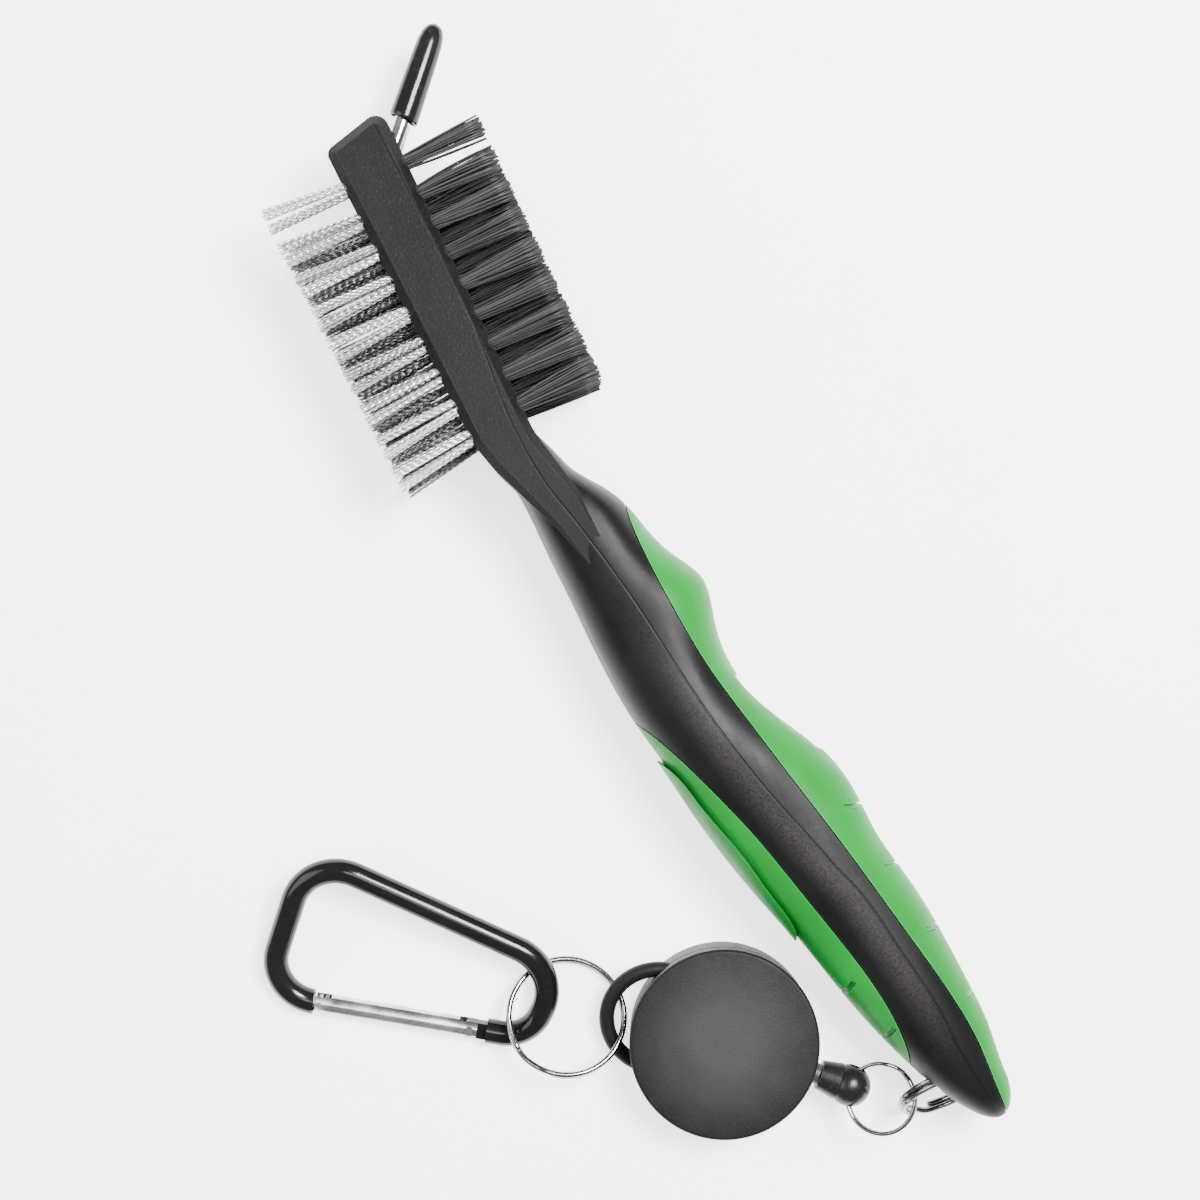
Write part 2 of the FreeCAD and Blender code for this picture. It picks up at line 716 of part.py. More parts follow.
def front_cover():
    """A shallow crowned lid with a spigot that fits the case, and a socket for the axle."""
    radius = size("reel_radius")
    bore = radius - size("reel_overhang") - size("reel_wall")
    bottom = size("reel_back_height") + size("reel_seam")
    top = size("reel_height")
    crown = size("reel_crown")
    ball = (radius ** 2 + crown ** 2) / (2 * crown)
    lid = Part.makeCylinder(radius, top - bottom, UP * bottom)
    lid = lid.common(Part.makeSphere(ball, UP * (top - ball)))
    rim = [e for e in lid.Edges if e.CenterOfMass.z > top - 2 * crown and e.Length > 50]
    lid = lid.makeFillet(size("reel_edge"), rim)
    roof = top - size("reel_plate")
    hollow = Part.makeCylinder(bore, roof - bottom, UP * bottom)
    depth = size("spigot_depth")
    spigot = Part.makeCylinder(bore - size("spigot_fit"), depth + 1, UP * (bottom - depth))
    shoulder = Part.makeCylinder(bore + size("spigot_fit"), 0.5, UP * bottom)
    spigot = spigot.fuse(shoulder)
    spigot = spigot.cut(Part.makeCylinder(bore - size("spigot_wall"), 4, UP * (bottom - 2)))
    lid = lid.cut(hollow).fuse(spigot)
    socket = Part.makeCylinder(size("axle_radius"), size("axle_socket"), UP * roof)
    return lid.cut(socket)


feature("reel_back_cover", back_cover(), REEL_PLACE)
feature("reel_front_cover", front_cover(), REEL_PLACE)

nozzle = part_body("reel_nozzle", CORD_PLACE)
primitive(
    nozzle, "AdditiveCylinder", "tube", Vector(size("nozzle_start"), 0, 0), ALONG_X,
    Radius="sizes.nozzle_radius", Height="sizes.nozzle_end - sizes.nozzle_start",
)
primitive(
    nozzle, "SubtractiveCylinder", "bore", Vector(size("nozzle_start") - 1, 0, 0), ALONG_X,
    Radius="sizes.nozzle_bore", Height="sizes.nozzle_end - sizes.nozzle_start + 2",
)

axle = part_body("reel_axle", REEL_PLACE)
primitive(
    axle, "AdditiveCylinder", "post", UP * size("axle_start"), Rotation(),
    Radius="sizes.axle_radius",
    Height="sizes.reel_height - sizes.reel_plate - sizes.axle_start + sizes.axle_socket - 0.1",
)

spool = part_body("reel_spool", REEL_PLACE)
primitive(
    spool, "AdditiveCylinder", "drum", Vector(0, 0, size("spool_bottom")), Rotation(),
    Radius="sizes.cord_drum_radius", Height="sizes.spool_top - sizes.spool_bottom",
)
primitive(
    spool, "AdditiveCylinder", "cup", Vector(0, 0, size("spool_bottom")), Rotation(),
    Radius="sizes.spool_radius", Height="sizes.cord_band_bottom - sizes.spool_bottom",
)
primitive(
    spool, "AdditiveCylinder", "top_flange", UP * (size("spool_top") - size("flange_thickness")), Rotation(),
    Radius="sizes.spool_radius", Height="sizes.flange_thickness",
)
primitive(
    spool, "SubtractiveCylinder", "spring_room", Vector(0, 0, size("spool_bottom") - 1), Rotation(),
    Radius="sizes.spring_cup_radius",
    Height="sizes.cord_band_bottom - sizes.flange_thickness - sizes.spool_bottom + 1",
)
primitive(
    spool, "SubtractiveCylinder", "bore", Vector(0, 0, 0), Rotation(),
    Radius="sizes.axle_radius + sizes.spool_fit", Height="20",
)

wound = part_body("cord_wound", REEL_PLACE)
primitive(
    wound, "AdditiveCylinder", "turns", Vector(0, 0, size("cord_band_bottom")), Rotation(),
    Radius="sizes.cord_band_radius",
    Height="sizes.spool_top - sizes.flange_thickness - sizes.cord_band_bottom",
)
primitive(
    wound, "SubtractiveCylinder", "drum_room", Vector(0, 0, 0), Rotation(),
    Radius="sizes.cord_drum_radius", Height="20",
)


def mainspring():
    """A flat spiral spring between the axle and the spool's cup."""
    play = size("spring_play")
    inner = size("axle_radius") + play + 0.1
    outer = size("spring_cup_radius") - 0.1
    turns = 7
    height = size("cord_band_bottom") - size("flange_thickness") - size("spool_bottom") - 2 * play
    bottom = UP * (size("spool_bottom") + play)
    rings = []
    for k in range(turns):
        radius = inner + (outer - inner) * (k + 0.5) / turns
        step = (outer - inner) / turns
        start = bottom + Vector(radius - step / 2, 0, 0)
        half = bottom + Vector(-radius, 0, 0)
        end = bottom + Vector(radius + step / 2, 0, 0)
        rings.append(Part.Arc(start, bottom + Vector(0, radius - step / 4, 0), half).toShape())
        rings.append(Part.Arc(half, bottom + Vector(0, -radius - step / 4, 0), end).toShape())
    ribbon = Part.Wire(rings).extrude(UP * height)
    return ribbon.makeOffsetShape(size("spring_gauge"), 0.001, fill=True)


feature("reel_mainspring", mainspring(), REEL_PLACE)

# ---------------------------------------------------------------- key ring
KEY_SLOPE = Vector(-0.272, -0.26, 0)
KEY_NORMAL = Vector(-KEY_SLOPE.x, -KEY_SLOPE.y, 1).normalize()
KEY_CENTRE = Vector(size("key_ring_x"), size("key_ring_y"), size("key_ring_z"))
KEY_PLACE = Placement(KEY_CENTRE, Rotation(UP, KEY_NORMAL))
feature("key_ring", wire_coil(size("key_ring_radius"), size("key_ring_gauge")), KEY_PLACE)

# ---------------------------------------------------------------- carabiner
# Local X runs from the wide end to the narrow end, local Y from the spine to the gate.
CARABINER_LONG = Vector(0.5393, -0.8421, 0).normalize()
CARABINER_WIDE = Vector(-0.8421, -0.5393, 0).normalize()
CARABINER_CORNER = Vector(-67.0, 90.79, 0)
GATE_SLOPE = 0.287
GATE_LINE_Y = 27.3


def gate_line(x):
    """Local Y of the gate's centre line at a local X."""
    return GATE_LINE_Y - GATE_SLOPE * x


GATE_ALONG = Vector(1, -GATE_SLOPE, 0).normalize()
GATE_OUT = Vector(GATE_SLOPE, 1, 0).normalize()
LATCH_X = 2.4
HINGE_X = 28.6
FRAME_CORNERS = [
    Vector(HINGE_X + 2.8, gate_line(HINGE_X + 2.8), 0),
    Vector(38.4, gate_line(38.4), 0),
    Vector(38.4, 2.15, 0),
    Vector(-9.05, 2.15, 0),
    Vector(-5.9, gate_line(-5.9), 0),
    Vector(LATCH_X, gate_line(LATCH_X), 0),
]
FRAME_RADII = [6.4, 8.4, 7.85, 7.4]


def carabiner_frame():
    """Lying with the whole gate side on the floor and the spine raised."""
    normal = CARABINER_LONG.cross(CARABINER_WIDE)
    upright = Placement(CARABINER_CORNER, Rotation(CARABINER_LONG, CARABINER_WIDE, normal, "ZXY"))
    pivot = upright.multVec(Vector(0, gate_line(0), 0))
    tilt = Rotation(upright.Rotation.multVec(GATE_ALONG), size("carabiner_tilt"))
    lift = Vector(0, 0, size("carabiner_rod"))
    return Placement(lift, tilt, Vector(pivot.x, pivot.y, 0)).multiply(upright)


CARABINER_PLACE = carabiner_frame()
GATE_PIVOT = Vector(HINGE_X, gate_line(HINGE_X), 0)
GATE_LENGTH = (HINGE_X - LATCH_X) / GATE_ALONG.x


def on_gate(along, out, up=0):
    """A point measured from the gate's pivot, along the gate towards the latch, and outwards."""
    return GATE_PIVOT - GATE_ALONG * along + GATE_OUT * out + UP * up


def gate_plate(along_from, along_to, low, high, thickness):
    """A flat plate centred on the gate's plane: its reach along the gate, and its inner and outer edges."""
    inner = [on_gate(along_from, low), on_gate(along_to, low)]
    outer = [on_gate(along_to, high), on_gate(along_from, high)]
    return plate([(c.x, c.y) for c in inner + outer], -thickness / 2, thickness)


def gate_bar(start, length, radius):
    """A round bar on the gate's centre line, running back from a distance towards the pivot."""
    return Part.makeCylinder(radius, length, on_gate(start, 0), GATE_ALONG)


def gate_pin(along, out, radius, length):
    """A pin square to the carabiner's plane."""
    return Part.makeCylinder(radius, length, on_gate(along, out, -length / 2))


# Along the gate's line, measured from its pivot.
TAB_REACH = -3.4
FORK_REACH = 1.9
NOSE_END = GATE_LENGTH + 0.6
NOSE_TIP = GATE_LENGTH - 2.7
NOTCH_FROM = GATE_LENGTH - 2.0
NOTCH_TO = GATE_LENGTH - 0.1
NOTCH_DEPTH = 0.7
NOSE_HALF = 1.4
BAR_END = GATE_LENGTH - 0.45
BAR_HEEL = -1.3
LATCH_FORK = GATE_LENGTH - 3.1
LATCH_PIN = GATE_LENGTH - size("latch_pin_reach")
SPRING_END = 10.2
CLEAR = 4


def carabiner_shape():
    """The bent rod with the tab that carries the gate's pivot and the nose that its latch pin hooks on."""
    rod = swept_rod(polyline_path(FRAME_CORNERS, FRAME_RADII), size("carabiner_rod"))
    tab_radius = size("gate_tab_radius")
    thickness = size("gate_tab")
    tab = gate_plate(TAB_REACH, 0, -tab_radius, tab_radius, thickness)
    tab = tab.fuse(gate_pin(0, 0, tab_radius, thickness))
    nose = gate_plate(NOSE_END, NOSE_TIP, -NOSE_HALF, NOSE_HALF, thickness)
    notch = gate_plate(NOTCH_FROM, NOTCH_TO, -CLEAR, NOTCH_DEPTH, CLEAR)
    pin_hole = gate_pin(0, 0, size("gate_pin_radius"), CLEAR)
    return rod.fuse([tab, nose]).cut([notch, pin_hole])


def gate_shape():
    """A round bar with a fork at each end, its far fork crossed by the latch pin."""
    slot = size("gate_slot")
    bar = gate_bar(BAR_END, BAR_END - BAR_HEEL, size("gate_radius"))
    hinge_slot = gate_plate(-CLEAR, FORK_REACH, -CLEAR, CLEAR, slot)
    latch_slot = gate_plate(LATCH_FORK, GATE_LENGTH + CLEAR, -CLEAR, CLEAR, slot)
    bore = gate_pin(0, 0, size("gate_pin_radius") + size("gate_pin_fit"), CLEAR)
    latch_bore = gate_pin(LATCH_PIN, -0.1, size("latch_pin_radius"), CLEAR)
    spring_room = gate_bar(SPRING_END + 0.3, SPRING_END - FORK_REACH, size("gate_spring_room"))
    return bar.cut([hinge_slot, latch_slot, bore, latch_bore, spring_room])


spring = gate_bar(SPRING_END, size("gate_spring_length"), size("gate_spring_radius"))
feature("carabiner_body", carabiner_shape(), CARABINER_PLACE)
feature("carabiner_gate", gate_shape(), CARABINER_PLACE)
feature("gate_spring", spring, CARABINER_PLACE)
hinge_pin = gate_pin(0, 0, size("gate_pin_radius"), size("gate_pin_length"))
latch_pin = gate_pin(LATCH_PIN, -0.1, size("latch_pin_radius"), size("latch_pin_length"))
feature("gate_hinge_pin", hinge_pin, CARABINER_PLACE)
feature("gate_latch_pin", latch_pin, CARABINER_PLACE)

# ---------------------------------------------------------------- origin, checks and export
doc.recompute()
box = FreeCAD.BoundBox()
for obj in nodes:
    box.add(obj.Shape.optimalBoundingBox(False))
to_origin = Placement(Vector(-box.Center.x, -box.Center.y, -box.ZMin), Rotation())
for obj in nodes:
    obj.Placement = to_origin.multiply(obj.Placement)
doc.recompute()
for obj in doc.Objects:
    bad = {"Invalid", "Error"} & set(obj.State)
    if bad:
        raise RuntimeError(f"{obj.Label}: {bad}")
for obj in nodes:
    if obj.Shape.isNull() or not obj.Shape.isValid() or obj.Shape.Volume <= 0:
        raise RuntimeError(f"{obj.Label}: shape is not valid")
    obj.Shape.exportStep(f"parts/{obj.Label}.step")
print("origin shift", to_origin.Base)
print("size", box.XLength, box.YLength, box.ZLength, "nodes", len(nodes))
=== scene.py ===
import bpy
import json
import math
import random

from mathutils import Matrix, Vector


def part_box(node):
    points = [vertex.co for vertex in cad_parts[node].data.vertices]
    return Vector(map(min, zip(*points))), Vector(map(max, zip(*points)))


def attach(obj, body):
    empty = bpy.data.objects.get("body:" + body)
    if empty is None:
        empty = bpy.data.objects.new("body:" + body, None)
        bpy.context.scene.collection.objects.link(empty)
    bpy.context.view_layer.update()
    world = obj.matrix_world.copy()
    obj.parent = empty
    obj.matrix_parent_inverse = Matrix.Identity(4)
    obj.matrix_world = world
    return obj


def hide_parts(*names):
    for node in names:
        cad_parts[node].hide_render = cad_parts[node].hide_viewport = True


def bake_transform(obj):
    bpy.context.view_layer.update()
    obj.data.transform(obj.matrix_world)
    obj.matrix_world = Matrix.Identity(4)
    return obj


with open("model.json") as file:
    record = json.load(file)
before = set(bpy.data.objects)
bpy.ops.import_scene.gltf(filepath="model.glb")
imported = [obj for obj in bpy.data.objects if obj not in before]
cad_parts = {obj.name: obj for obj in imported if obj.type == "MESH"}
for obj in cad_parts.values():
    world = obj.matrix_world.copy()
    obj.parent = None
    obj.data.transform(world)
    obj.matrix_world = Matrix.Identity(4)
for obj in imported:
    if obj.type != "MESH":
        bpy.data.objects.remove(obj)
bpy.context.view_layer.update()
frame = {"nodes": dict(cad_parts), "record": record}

MM = 0.001
UP = Vector((0, 0, 1))
nodes = frame["nodes"]

# Places below are in millimetres about the brush's tail: nylon towards +X, head towards +Y, floor at z = 0.
# PIVOT is the spike's pivot, which fixes where the tail is in the frame, and MID is the brush's mid-plane.
PIVOT = Vector((-0.87, 188.15, 0))
pin_low, pin_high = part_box("spike_pivot_pin")
pin_middle = (pin_low + pin_high) / 2
ORIGIN = Vector((pin_middle.x, pin_middle.y, 0)) - PIVOT * MM
MID = 12.0
REEL = Vector((-31.54, 32.58, 0))
REEL_RADIUS = 16.0


def at(point):
    """A place in millimetres about the tail, as a place in the frame."""
    return ORIGIN + Vector(point) * MM


# ---------------------------------------------------------------- materials
# Sizes are in millimetres.
CLOUD_SIZE = 14.0
PEBBLE_SIZE = 0.34
FINE_GRAIN_SIZE = 0.17
SCUFF_SIZE = 2.4
EDGE_WEAR_RADIUS = 0.35
# A Mix node's sockets when it mixes colours: factor, first colour and second colour, and the result.
MIX_INPUTS = (0, 6, 7)
MIX_RESULT = 2


def grey(value):
    """A colour without a hue."""
    return (value, value, value)


class Paint:
    """A procedural material on one Principled shader, with short ways to add texture nodes."""

    def __init__(self, name, **constants):
        """Constants go on the shader's own sockets, with underscores for the spaces in their names."""
        self.material = bpy.data.materials.new(name)
        self.material.use_nodes = True
        self.tree = self.material.node_tree
        self.shader = self.tree.nodes["Principled BSDF"]
        for socket, value in constants.items():
            self.shader.inputs[socket.replace("_", " ")].default_value = value
        self.place = self.tree.nodes.new("ShaderNodeTexCoord").outputs["Object"]

    def node(self, kind, **links):
        """A new node whose inputs are linked to other nodes' outputs or set to values."""
        made = self.tree.nodes.new(kind)
        for socket, value in links.items():
            target = made.inputs[socket.replace("_", " ")]
            if isinstance(value, bpy.types.NodeSocket):
                self.tree.links.new(value, target)
            else:
                target.default_value = value
        return made

    def stretched(self, scale, turn=(0, 0, 0)):
        """The object's own coordinates, scaled along each axis after a turn."""
        turned = self.node("ShaderNodeMapping", Vector=self.place, Rotation=turn)
        return self.node("ShaderNodeMapping", Vector=turned.outputs[0], Scale=scale).outputs[0]

    def noise(self, size, detail, place=None):
        """Cloudy noise whose features are about size millimetres across."""
        made = self.node(
            "ShaderNodeTexNoise", Vector=place or self.place, Scale=1 / (size * MM),
            Detail=detail, Roughness=0.55,
        )
        return made.outputs["Fac"]

    def cells(self, size):
        """The rounded pebbles of a textured mould."""
        made = self.node("ShaderNodeTexVoronoi", Vector=self.place, Scale=1 / (size * MM))
        made.feature = "SMOOTH_F1"
        return made.outputs["Distance"]

    def math(self, operation, first, second=0.0):
        """The result of one sum on two outputs or values."""
        made = self.tree.nodes.new("ShaderNodeMath")
        made.operation = operation
        for target, value in zip(made.inputs, (first, second)):
            if isinstance(value, bpy.types.NodeSocket):
                self.tree.links.new(value, target)
            else:
                target.default_value = value
        return made.outputs[0]

    def ramp(self, source, *stops):
        """A ramp of colours or greys: each stop is its place and its value."""
        made = self.node("ShaderNodeValToRGB", Fac=source)
        points = made.color_ramp.elements
        while len(points) < len(stops):
            points.new(0.5)
        for point, (place, value) in zip(points, stops):
            colour = grey(value) if isinstance(value, (int, float)) else value
            point.position = place
            point.color = (*colour, 1)
        return made.outputs[0]

    def curve(self, source, points):
        """A smooth curve through points, both ways from 0 to 1."""
        made = self.node("ShaderNodeFloatCurve", Value=source)
        line = made.mapping.curves[0]
        while len(line.points) < len(points):
            line.points.new(0.5, 0.5)
        for spot, place in zip(line.points, points):
            spot.location = place
        made.mapping.update()
        return made.outputs[0]

    def brush_axes(self):
        """Millimetres from the tail, across and along the brush."""
        split = self.node("ShaderNodeSeparateXYZ", Vector=self.place)
        across = self.math("MULTIPLY", self.math("SUBTRACT", split.outputs[0], ORIGIN.x), 1 / MM)
        along = self.math("MULTIPLY", self.math("SUBTRACT", split.outputs[1], ORIGIN.y), 1 / MM)
        return across, along

    def blend(self, factor, first, second):
        """The first colour where the factor is 0, the second where it is 1."""
        made = self.tree.nodes.new("ShaderNodeMix")
        made.data_type = "RGBA"
        for number, value in zip(MIX_INPUTS, (factor, first, second)):
            target = made.inputs[number]
            if isinstance(value, bpy.types.NodeSocket):
                self.tree.links.new(value, target)
            elif isinstance(value, float):
                target.default_value = value
            else:
                target.default_value = (*value, 1)
        return made.outputs[MIX_RESULT]

    def edges(self, radius):
        """White along sharp edges, where handling wears the surface first."""
        rounded = self.tree.nodes.new("ShaderNodeBevel")
        rounded.samples = 4
        rounded.inputs["Radius"].default_value = radius * MM
        true = self.tree.nodes.new("ShaderNodeNewGeometry")
        dot = self.tree.nodes.new("ShaderNodeVectorMath")
        dot.operation = "DOT_PRODUCT"
        self.tree.links.new(rounded.outputs[0], dot.inputs[0])
        self.tree.links.new(true.outputs["Normal"], dot.inputs[1])
        return self.ramp(dot.outputs["Value"], (0.80, 1.0), (0.985, 0.0))

    def colour(self, source):
        """Links the source to the shader's colour."""
        self.tree.links.new(source, self.shader.inputs["Base Color"])

    def rough(self, source):
        """Links the source to the shader's roughness."""
        self.tree.links.new(source, self.shader.inputs["Roughness"])

    def bump(self, *layers):
        """Surface relief: each layer is its height map and its depth in millimetres."""
        normal = None
        for height, depth in layers:
            made = self.node("ShaderNodeBump", Height=height, Strength=1.0, Distance=depth * MM)
            if normal:
                self.tree.links.new(normal, made.inputs["Normal"])
            normal = made.outputs[0]
        self.tree.links.new(normal, self.shader.inputs["Normal"])


def moulded(name, dark, light, worn, grain, depth, rough_low, rough_high, **constants):
    """Moulded plastic: a pebbled grain, cloudy tone and gloss, fine scuffs and slightly polished edges."""
    paint = Paint(name, **constants)
    cloud = paint.noise(CLOUD_SIZE, 4.0)
    fleck = paint.noise(grain, 2.0)
    tone = paint.ramp(cloud, (0.35, dark), (0.65, light))
    tone = paint.blend(paint.ramp(fleck, (0.58, 0.0), (0.72, 0.45)), tone, worn)
    paint.colour(paint.blend(paint.math("MULTIPLY", paint.edges(EDGE_WEAR_RADIUS), 0.5), tone, worn))
    scuffs = paint.noise(SCUFF_SIZE, 5.0, paint.stretched((1, 0.12, 1), (0, 0, 0.35)))
    gloss = paint.math("ADD", paint.math("MULTIPLY", cloud, 0.5), paint.math("MULTIPLY", scuffs, 0.5))
    paint.rough(paint.ramp(gloss, (0.38, rough_low), (0.62, rough_high)))
    paint.bump((paint.cells(grain), depth), (paint.noise(grain * 0.4, 2.0), depth * 0.5))
    return paint.material


def reel_plastic():
    """Black grained plastic, with painted light: lighter towards the middle of the lid."""
    paint = Paint("reel_plastic", Specular_IOR_Level=0.15)
    across, along = paint.brush_axes()
    east = paint.math("POWER", paint.math("SUBTRACT", across, REEL.x), 2.0)
    north = paint.math("POWER", paint.math("SUBTRACT", along, REEL.y), 2.0)
    share = paint.math("DIVIDE", paint.math("SQRT", paint.math("ADD", east, north)), REEL_RADIUS)
    cloud = paint.math("MULTIPLY", paint.math("SUBTRACT", paint.noise(6.0, 4.0), 0.5), 0.35)
    # Painted light: the lid's colour is lighter towards its middle, where the light pools.
    painted_light = paint.ramp(paint.math("ADD", share, cloud), (0.25, 1.0), (0.98, 0.0))
    tone = paint.blend(painted_light, (0.0045, 0.0045, 0.0046), (0.0250, 0.0250, 0.0252))
    fleck = paint.ramp(paint.noise(0.36, 2.0), (0.58, 0.0), (0.74, 0.3))
    tone = paint.blend(fleck, tone, grey(0.026))
    wear = paint.math("MULTIPLY", paint.edges(EDGE_WEAR_RADIUS), 0.3)
    paint.colour(paint.blend(wear, tone, grey(0.03)))
    paint.rough(paint.ramp(paint.noise(2.0, 4.0), (0.38, 0.50), (0.62, 0.56)))
    paint.bump((paint.cells(PEBBLE_SIZE), 0.022), (paint.noise(FINE_GRAIN_SIZE, 2.0), 0.012))
    return paint.material


# The mould's parting line on the flat side of the brush: across, along.
PARTING_LINE = [
    (1.2, 6.2), (1.2, 13.8), (1.85, 21.1), (1.5, 32.8), (1.2, 41.6), (-0.5, 51.3), (-4.5, 78.7),
    (-5.5, 108.0), (-6.45, 118.8), (-7.5, 129.4), (-7.1, 137.8), (-6.2, 143.9), (-4.8, 150.7),
    (-3.1, 161.2), (-1.6, 177.5), (-0.6, 190.8),
]
PARTING_SPAN = 24.0
BRUSH_LENGTH = 200.0
# A painted highlight, speckled like dust, lies along the handle's crest, on the wire side of the parting
# line.
HIGHLIGHT_OFFSET = 1.6
HIGHLIGHT_WIDTH = 4.4


def from_parting_line(paint, across, share):
    """Millimetres across from the parting line, less than 0 on the wire side."""
    places = [(y / BRUSH_LENGTH, x / PARTING_SPAN + 0.5) for x, y in PARTING_LINE]
    centred = paint.math("SUBTRACT", paint.curve(share, places), 0.5)
    return paint.math("SUBTRACT", across, paint.math("MULTIPLY", centred, PARTING_SPAN))


def crest_speckled_highlight(paint, offset, share, cloud):
    """How much painted highlight the handle has: a speckled band beside the parting line that fades at both
    its ends.
    """
    beside = paint.math("ABSOLUTE", paint.math("ADD", offset, HIGHLIGHT_OFFSET))
    beside = paint.math("MULTIPLY", beside, 1 / HIGHLIGHT_WIDTH)
    band = paint.math("ADD", beside, paint.math("MULTIPLY", cloud, 0.4))
    handle = paint.ramp(share, (0.04, 0.0), (0.14, 1.0), (0.40, 0.8), (0.58, 0.0))
    painted_light = paint.math("MULTIPLY", paint.ramp(band, (0.2, 1.0), (1.0, 0.0)), handle)
    speck = paint.ramp(paint.noise(PEBBLE_SIZE, 3.0), (0.36, 0.25), (0.62, 1.0))
    return paint.math("MULTIPLY", painted_light, speck)


def core_plastic():
    """Black plastic: pebbled head and neck, satin handle with a painted, speckled highlight along its crest,
    and the mould's parting line.
    """
    paint = Paint("core_plastic", Specular_IOR_Level=0.10)
    across, along = paint.brush_axes()
    share = paint.math("MULTIPLY", along, 1 / BRUSH_LENGTH)
    offset = from_parting_line(paint, across, share)
    distance = paint.math("MULTIPLY", paint.math("ABSOLUTE", offset), 0.5)
    line = paint.ramp(distance, (0.03, 1.0), (0.11, 0.0))
    head = paint.ramp(share, (0.58, 0.0), (0.70, 1.0))
    cloud = paint.noise(CLOUD_SIZE, 4.0)
    tone = paint.ramp(cloud, (0.35, (0.0034, 0.0033, 0.0034)), (0.65, (0.0060, 0.0057, 0.0058)))
    fleck = paint.math("MULTIPLY", paint.ramp(paint.noise(0.42, 2.0), (0.56, 0.0), (0.72, 0.5)), head)
    tone = paint.blend(fleck, tone, (0.022, 0.0215, 0.0215))
    # A painted highlight, speckled like dust, lightens the colour along the crest.
    tone = paint.blend(crest_speckled_highlight(paint, offset, share, cloud), tone, (0.025, 0.0232, 0.0222))
    tone = paint.blend(paint.math("MULTIPLY", line, 0.5), tone, grey(0.002))
    wear = paint.math("MULTIPLY", paint.edges(EDGE_WEAR_RADIUS), 0.4)
    paint.colour(paint.blend(wear, tone, (0.05, 0.049, 0.049)))
    scuffs = paint.noise(SCUFF_SIZE, 5.0, paint.stretched((1, 0.12, 1), (0, 0, 0.1)))
    gloss = paint.math("ADD", paint.math("MULTIPLY", cloud, 0.5), paint.math("MULTIPLY", scuffs, 0.5))
    satin = paint.ramp(gloss, (0.38, 0.36), (0.62, 0.48))
    paint.rough(paint.math("ADD", satin, paint.math("MULTIPLY", head, 0.08)))
    grain = paint.math("ADD", paint.math("MULTIPLY", head, 0.85), 0.15)
    pebbles = paint.math("MULTIPLY", paint.cells(PEBBLE_SIZE), grain)
    paint.bump((pebbles, 0.030), (paint.noise(FINE_GRAIN_SIZE, 2.0), 0.010), (line, -0.06))
    return paint.material


def metal(name, dark, light, rough_low, rough_high, scale):
    """Bare or plated metal: smudges, some tarnish, and fine lines along the axis of the smallest scale."""
    paint = Paint(name, Metallic=1.0)
    smudge = paint.noise(5.0, 4.0)
    lines = paint.noise(0.35, 3.0, paint.stretched(scale))
    mixed = paint.math("ADD", paint.math("MULTIPLY", smudge, 0.6), paint.math("MULTIPLY", lines, 0.4))
    paint.colour(paint.ramp(mixed, (0.36, dark), (0.6, light)))
    paint.rough(paint.ramp(smudge, (0.35, rough_low), (0.65, rough_high)))
    paint.bump((lines, 0.004))
    return paint.material


def grip_rubber():
    """Soft green rubber: satin, faintly mottled, paler where fingers rub its edges."""
    paint = Paint("grip_rubber", Specular_IOR_Level=0.08)
    cloud = paint.noise(18.0, 3.0)
    tone = paint.ramp(cloud, (0.3, (0.0004, 0.150, 0.014)), (0.7, (0.0008, 0.195, 0.021)))
    speckle = paint.ramp(paint.noise(0.5, 2.0), (0.60, 0.0), (0.75, 0.30))
    tone = paint.blend(speckle, tone, (0.003, 0.24, 0.028))
    paint.colour(paint.blend(paint.math("MULTIPLY", paint.edges(0.3), 0.6), tone, (0.03, 0.36, 0.08)))
    paint.rough(paint.ramp(paint.noise(7.0, 4.0), (0.35, 0.36), (0.65, 0.50)))
    paint.bump((paint.noise(0.30, 2.0), 0.018), (paint.noise(6.0, 2.0), 0.05))
    return paint.material


def strand(name, dark, light, rough_low, rough_high, **constants):
    """Filaments or wires, each with its own tone, which carries painted shade, and small marks along its
    length.
    """
    paint = Paint(name, **constants)
    own = paint.node("ShaderNodeAttribute")
    own.attribute_name = "strand_tone"
    tone = paint.math("MULTIPLY", own.outputs["Fac"], 0.7)
    marks = paint.noise(0.5, 2.0)
    mixed = paint.math("ADD", tone, paint.math("MULTIPLY", marks, 0.3))
    paint.colour(paint.ramp(mixed, (0.15, dark), (0.85, light)))
    paint.rough(paint.ramp(marks, (0.35, rough_low), (0.65, rough_high)))
    paint.bump((marks, 0.01))
    return paint.material


# The braid is two sets of waves, turned one way and the other by this angle in radians.
BRAID_ANGLE = 0.7
BRAID_SCALE = 1200.0


def braided_cord():
    """Tightly braided nylon cord."""
    paint = Paint("cord_nylon", Sheen_Weight=0.3)
    left_way = paint.stretched((1, 1, 1), (0, 0, BRAID_ANGLE))
    right_way = paint.stretched((1, 1, 1), (0, 0, -BRAID_ANGLE))
    left = paint.node("ShaderNodeTexWave", Vector=left_way, Scale=BRAID_SCALE)
    right = paint.node("ShaderNodeTexWave", Vector=right_way, Scale=BRAID_SCALE)
    weave = paint.math("MULTIPLY", left.outputs["Fac"], right.outputs["Fac"])
    paint.colour(paint.ramp(weave, (0.1, (0.006, 0.006, 0.006)), (0.9, (0.05, 0.05, 0.052))))
    paint.rough(paint.ramp(weave, (0.2, 0.75), (0.8, 0.55)))
    paint.bump((weave, 0.06))
    return paint.material


